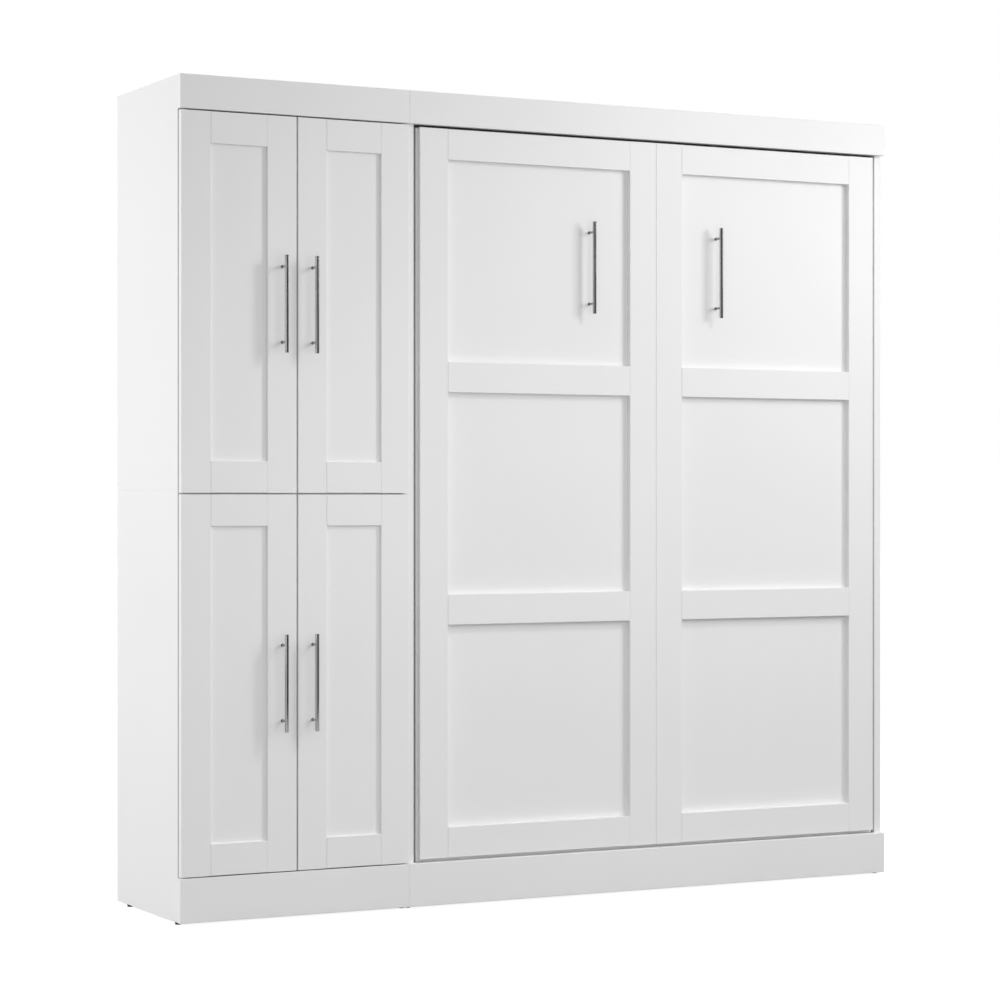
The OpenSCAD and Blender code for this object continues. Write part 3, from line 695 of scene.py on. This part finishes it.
class WALLBED_OT_cam_covers(bpy.types.Operator):
    """Makes the covers of the cam fittings under the cabinet's boards"""

    bl_idname = "wall_bed.cam_covers"
    bl_label = "Cam covers"

    def execute(self, context):
        low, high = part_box("tower_tops_and_bases")
        panel_low, panel_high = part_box("bed_top_panel")
        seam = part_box("tower_upper_sides")[0].z
        undersides = [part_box("tower_plinth")[1].z - TOWER_T, seam - TOWER_T, seam, high.z - TOWER_T]
        side_in = 34 * MM       # covers, in from a board's ends
        tower_y = (low.y + 50 * MM, high.y - 60 * MM)
        bed_y = (panel_low.y + 60 * MM, panel_high.y - 90 * MM)
        spots = [(x, y, z) for z in undersides for x in (low.x + side_in, high.x - side_in)
                 for y in tower_y]
        spots += [(x, y, panel_low.z) for x in (panel_low.x + side_in, panel_high.x - side_in)
                  for y in bed_y]
        cover = turned("cam_cover", [(0, 0), (8.5 * MM, 0), (8.5 * MM, 0.5 * MM),
                                     (7.7 * MM, 1 * MM), (0, 1.2 * MM)], 28)
        covers = spread(cover, [facing(spot, (0, 0, -1)) for spot in spots], "cam_covers")
        dress(covers, "white_nylon", "cabinet")
        return {"FINISHED"}


# ---- bed frame -------------------------------------------------------------

def slat_heights():
    """Heights of the slats' middles."""
    low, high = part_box("slats")
    return [low.z + SLAT_W / 2 + k * (high.z - low.z - SLAT_W) / (SLATS - 1) for k in range(SLATS)]


def bent_slat(name, span, bow):
    """A bent slat along x with rounded edges: its middle is over x = 0, its ends stand on y = 0."""
    radius = (span * span / 4 + bow * bow) / (2 * bow)
    reach = math.asin(span / 2 / radius)
    axis_y = bow - radius
    middle_line = radius + SLAT_T / 2
    made = primitive("plane", name, size=1, rotation=(0, math.radians(90), reach), location=(
        -middle_line * math.sin(reach), axis_y + middle_line * math.cos(reach), 0))
    made.scale = (SLAT_W, SLAT_T, 1)
    settle(made)
    edit(made)
    bpy.ops.mesh.select_all(action="SELECT")
    bpy.ops.mesh.bevel(offset=3 * MM, segments=3, affect="VERTICES")
    bpy.ops.mesh.select_all(action="SELECT")
    bpy.ops.mesh.spin(steps=16, angle=2 * reach, center=(0, axis_y, 0), axis=(0, 0, 1))
    bpy.ops.mesh.select_all(action="SELECT")
    bpy.ops.mesh.normals_make_consistent(inside=False)
    close(made)
    return made


class WALLBED_OT_slats(bpy.types.Operator):
    """Makes the bent slats with their rounded edges"""

    bl_idname = "wall_bed.slats"
    bl_label = "Slats"

    def execute(self, context):
        low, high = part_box("slats")
        centre = middle(low.x, high.x)
        span = high.x - centre - SLAT_INNER
        places = [Matrix.Translation((centre + side * (SLAT_INNER + span / 2), low.y, z))
                  for z in slat_heights() for side in (-1, 1)]
        slat = bent_slat("slat", span, high.y - low.y - SLAT_T)
        dress(spread(slat, places, "bent_slats"), "birch_plywood", "bed", "slats")
        return {"FINISHED"}


class WALLBED_OT_holder_rivets(bpy.types.Operator):
    """Makes the rivets of the slat holders"""

    bl_idname = "wall_bed.holder_rivets"
    bl_label = "Holder rivets"

    def execute(self, context):
        low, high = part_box("slats")
        centre = middle(low.x, high.x)
        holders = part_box("slat_caps")[1]
        inner = 15 * MM         # rivets, from the centre line
        outer = middle(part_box("bed_cross_rails")[1].x, holders.x) - centre
        beside = 29.2 * MM      # rivets, above and below a slat's middle
        places = [facing((centre + x, holders.y, z + side * beside), (0, 1, 0))
                  for z in slat_heights() for side in (-1, 1) for x in (-outer, -inner, inner, outer)]
        fixings(dome("holder_rivet", 3.2 * MM, 0.8 * MM), places, "holder_rivets", "bed")
        return {"FINISHED"}


def weld_bead(name, run):
    """A rippled weld bead along +Z, a little thinner at its ends."""
    crest, trough, ripple = 2.3 * MM, 2.0 * MM, 2.2 * MM
    count = 2 * round(run / ripple)
    outline = [(0, 0)]
    for k in range(count + 1):
        end = 0.75 if k in (0, count) else 1.0
        outline.append(((crest if k % 2 else trough) * end, k * run / count))
    return turned(name, outline + [(0, run)], 10)


class WALLBED_OT_rail_welds(bpy.types.Operator):
    """Makes the weld beads at the ends of the bed frame's cross rails"""

    bl_idname = "wall_bed.rail_welds"
    bl_label = "Rail welds"

    def execute(self, context):
        low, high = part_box("bed_cross_rails")
        centre = middle(low.x, high.x)
        y = high.y - 0.9 * MM       # a bead stands a little proud of the rails' faces
        spots = [(x, z) for z in (low.z, high.z - TUBE) for x in (low.x, high.x)]
        # the two inner rails stand at a third and two thirds, and meet the centre rail
        spots += [(x, low.z + share * (high.z - low.z) - TUBE / 2) for share in (0.33, 0.67)
                  for x in (low.x, centre - TUBE / 2, centre + TUBE / 2, high.x)]
        welds = [Matrix.Translation((x, y, z)) for x, z in spots]
        dress(spread(weld_bead("bead", TUBE), welds, "rail_welds"), "grey_powder_coated_steel", "bed")
        return {"FINISHED"}


class WALLBED_OT_rail_plugs(bpy.types.Operator):
    """Makes the plugs that close the top ends of the bed frame's side rails"""

    bl_idname = "wall_bed.rail_plugs"
    bl_label = "Rail plugs"

    def execute(self, context):
        low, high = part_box("bed_side_rails")
        play, thick = 0.4 * MM, 1.2 * MM
        plug = primitive("cube", "plug", size=1, location=(0, 0, thick / 2),
                         scale=(TUBE_NARROW - play, TUBE - play, thick))
        settle(plug)
        edit(plug)
        choose(plug, "edges", lambda e: abs(e.verts[0].co.z - e.verts[1].co.z) > 1 * MM)
        bpy.ops.mesh.bevel(offset=2.5 * MM, segments=3, affect="EDGES")
        choose(plug, "faces", lambda f: f.normal.z > 0.9)
        bpy.ops.mesh.bevel(offset=0.5 * MM, segments=2, affect="EDGES")
        close(plug)
        places = [Matrix.Translation((x, low.y + TUBE / 2, high.z))
                  for x in (low.x + TUBE_NARROW / 2, high.x - TUBE_NARROW / 2)]
        dress(spread(plug, places, "rail_end_plugs"), "black_plastic", "bed")
        return {"FINISHED"}


class WALLBED_OT_leg_sleeves(bpy.types.Operator):
    """Makes the ribbed rubber sleeves of the folding leg"""

    bl_idname = "wall_bed.leg_sleeves"
    bl_label = "Leg sleeves"

    def execute(self, context):
        low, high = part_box("leg_feet")
        outer = (high.y - low.y) / 2
        bore = outer - 2.5 * MM
        groove = outer - 0.9 * MM
        edge = 0.8 * MM
        first, pitch = 4 * MM, 5.6 * MM     # grooves, along the sleeve
        outline = [(bore, 0), (outer - edge, 0), (outer, edge)]
        for k in range(8):
            z = first + k * pitch
            outline += [(outer, z), (groove, z + 0.7 * MM),
                        (groove, z + 2 * MM), (outer, z + 2.7 * MM)]
        outline += [(outer, SLEEVE - edge), (outer - edge, SLEEVE), (bore, SLEEVE)]
        places = [facing((x, middle(low.y, high.y), middle(low.z, high.z)), (1, 0, 0))
                  for x in (low.x, high.x - SLEEVE)]
        sleeves = spread(turned("sleeve", outline, 40, closed=True), places, "ribbed_leg_sleeves")
        dress(sleeves, "black_rubber", "leg", "leg_feet")
        return {"FINISHED"}


# ---- studio ----------------------------------------------------------------

CAMERA_PLACE = (-3.5903, -6.7945, 1.0644)       # fitted to the photograph's straight edges
HANDLE_CARD_PLACE = (0.5, -1.9, 1.5)
HANDLE_CARD_SIZE = (4.4, 2.98)
FLOOR_GLOW = 0.9        # floor's own white to the camera, low enough to show a soft shadow
FLOOR_SHADE = 0.25      # floor's paint, a mid grey that throws little light up at the cabinet

# Each lamp's setting, place, target and size across
LAMPS = (
    ("key", (1.0745, -1.3575, 2.50), (-0.9, 0.0, 0.6), 0.22),
    ("right", (2.6, -2.2, 2.3), (0.8, 0.0, 1.3), 1.0),
    ("far", (3.4, -3.0, 1.9), (0.6, 0.0, 1.2), 1.4),
    ("centre", (0.0, -2.0, 1.3), (0.0, 0.0, 1.3), 0.8),
    ("fill", (-1.4, -2.6, 0.7), (-0.8, 0.0, 0.7), 1.6),
    ("side", (-4.2, 0.6, 1.7), (-1.0, 0.1, 1.1), 2.0),
)


def seen(tree):
    """An output that is 1 for the camera's rays and those of gloss and glass, and 0 for the rest."""
    path = add_node(tree, "ShaderNodeLightPath")
    found = path.outputs["Is Camera Ray"]
    for kind in ("Is Glossy Ray", "Is Transmission Ray"):
        found = add_node(tree, "ShaderNodeMath", {0: found, 1: path.outputs[kind]},
                         operation="MAXIMUM").outputs[0]
    return found


def studio_floor():
    """A floor that is white to the camera and in gloss, with a faint shadow, and grey otherwise."""
    just_under = -0.1 * MM      # the feet stand clear of the plane
    floor = primitive("plane", "studio_floor", size=80, location=(0, 0, just_under))
    made = bpy.data.materials.new("white_floor")
    made.use_nodes = True
    tree = made.node_tree
    tree.nodes.clear()
    paint = add_node(tree, "ShaderNodeBsdfDiffuse", {"Color": rgba([FLOOR_SHADE] * 3)})
    glow = add_node(tree, "ShaderNodeEmission", {"Color": (1, 1, 1, 1), "Strength": FLOOR_GLOW})
    lit = add_node(tree, "ShaderNodeAddShader", {0: paint.outputs[0], 1: glow.outputs[0]})
    mix = add_node(tree, "ShaderNodeMixShader", {
        0: seen(tree), 1: paint.outputs[0], 2: lit.outputs[0]})
    add_node(tree, "ShaderNodeOutputMaterial", {"Surface": mix.outputs[0]})
    floor.data.materials.append(made)


def studio_world(ambient):
    """White to the camera and in gloss and glass, and an even light of the ambient strength."""
    world = bpy.data.worlds.new("studio")
    bpy.context.scene.world = world
    world.use_nodes = True
    tree = world.node_tree
    tree.nodes.clear()
    even = add_node(tree, "ShaderNodeBackground", {"Color": (1, 1, 1, 1), "Strength": ambient})
    white = add_node(tree, "ShaderNodeBackground", {"Color": (1, 1, 1, 1), "Strength": 1.0})
    mix = add_node(tree, "ShaderNodeMixShader", {
        0: seen(tree), 1: even.outputs[0], 2: white.outputs[0]})
    add_node(tree, "ShaderNodeOutputWorld", {"Surface": mix.outputs[0]})


def lamp(name, place, target, size, watts):
    """A square soft box at a place, aimed at a target."""
    deselect()
    bpy.ops.object.light_add(type="AREA", location=place)
    made = bpy.context.object
    made.name = name
    made.data.shape = "SQUARE"
    made.data.size = size
    made.data.energy = watts
    made.rotation_euler = (Vector(target) - Vector(place)).to_track_quat("-Z", "Y").to_euler()
    return made


def carry_far(soft_box):
    """Keeps a near lamp equally strong over the whole object, as one much further off would be."""
    soft_box.data.use_nodes = True
    tree = soft_box.data.node_tree
    falloff = add_node(tree, "ShaderNodeLightFalloff", {"Strength": 1.0})
    tree.links.new(falloff.outputs["Constant"], tree.nodes["Emission"].inputs["Strength"])


def black_card(name, place, tilt, width, height):
    """A matt black card, tilted about X, that the camera doesn't see."""
    card = primitive("plane", name, size=1, location=place, rotation=(tilt, 0, 0))
    card.scale = (width, height, 1)
    settle(card)
    black = bpy.data.materials.new(name)
    black.use_nodes = True
    paint = black.node_tree.nodes["Principled BSDF"]
    paint.inputs["Base Color"].default_value = rgba([0.02] * 3)
    card.data.materials.append(black)
    card.visible_camera = False
    return card


def handle_card():
    """Shows in gloss alone, where it draws a dark line along the round handles."""
    card = black_card("handle_card", HANDLE_CARD_PLACE, math.radians(90), *HANDLE_CARD_SIZE)
    card.visible_diffuse = card.visible_shadow = False


def cavity_card():
    """Keeps light off the space under the bed cabinet's top, as the wall and a mattress would."""
    low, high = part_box("bed_top_panel")
    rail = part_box("upper_wall_rail")[0]
    front = low.y + 40 * MM
    card = black_card("cavity_card", (middle(low.x, high.x), middle(front, rail.y), rail.z), 0,
                      high.x - low.x, rail.y - front)
    card.visible_glossy = card.visible_transmission = False


class WALLBED_OT_stage(bpy.types.Operator):
    """Makes the camera, the white floor, the lamps and the black cards"""

    bl_idname = "wall_bed.stage"
    bl_label = "Studio"

    def execute(self, context):
        studio = context.scene.wall_bed_studio
        deselect()
        bpy.ops.object.camera_add(location=CAMERA_PLACE, rotation=(math.radians(90), 0, -studio.turn))
        camera = context.object
        camera.data.lens = studio.lens
        camera.data.sensor_width = 36
        camera.data.clip_end = 200
        context.scene.camera = camera
        studio_floor()
        studio_world(studio.ambient)
        for setting, place, target, size in LAMPS:
            made = lamp(f"{setting}_lamp", place, target, size, getattr(studio, setting))
            if setting == "key":
                carry_far(made)
        handle_card()
        cavity_card()
        context.scene.view_settings.view_transform = "Standard"
        return {"FINISHED"}


# ---- panel and registration ------------------------------------------------

STEPS = ("stage", "finishes", "handles", "hinge_screws", "cabinet_screws", "back_nails", "cam_covers",
         "slats", "holder_rivets", "rail_welds", "rail_plugs", "leg_sleeves")


class WALLBED_PT_panel(bpy.types.Panel):
    """Lists the settings and the steps in the sidebar"""

    bl_idname = "WALLBED_PT_panel"
    bl_label = "Wall bed"
    bl_space_type = "VIEW_3D"
    bl_region_type = "UI"
    bl_category = "Wall bed"

    def draw(self, context):
        for step in STEPS:
            self.layout.operator(f"wall_bed.{step}")
        for group in ("wall_bed_finishes", "wall_bed_fittings", "wall_bed_studio"):
            settings = getattr(context.scene, group)
            column = self.layout.column(align=True)
            for key in settings.__annotations__:
                column.prop(settings, key)


CLASSES = (WallBedFinishes, WallBedFittings, WallBedStudio,
           WALLBED_OT_stage, WALLBED_OT_finishes, WALLBED_OT_handles, WALLBED_OT_hinge_screws,
           WALLBED_OT_cabinet_screws, WALLBED_OT_back_nails, WALLBED_OT_cam_covers,
           WALLBED_OT_slats, WALLBED_OT_holder_rivets, WALLBED_OT_rail_welds,
           WALLBED_OT_rail_plugs, WALLBED_OT_leg_sleeves, WALLBED_PT_panel)


def register():
    """Registers the classes and hangs the settings on the scene."""
    for cls in CLASSES:
        bpy.utils.register_class(cls)
    bpy.types.Scene.wall_bed_finishes = PointerProperty(type=WallBedFinishes)
    bpy.types.Scene.wall_bed_fittings = PointerProperty(type=WallBedFittings)
    bpy.types.Scene.wall_bed_studio = PointerProperty(type=WallBedStudio)


def unregister():
    """Takes the settings and the classes away again."""
    for name in ("wall_bed_studio", "wall_bed_fittings", "wall_bed_finishes"):
        delattr(bpy.types.Scene, name)
    for cls in reversed(CLASSES):
        bpy.utils.unregister_class(cls)


def main():
    """Dresses the model from start to end."""
    register()
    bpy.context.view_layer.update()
    for step in STEPS:
        getattr(bpy.ops.wall_bed, step)()


if __name__ == "__main__":
    main()
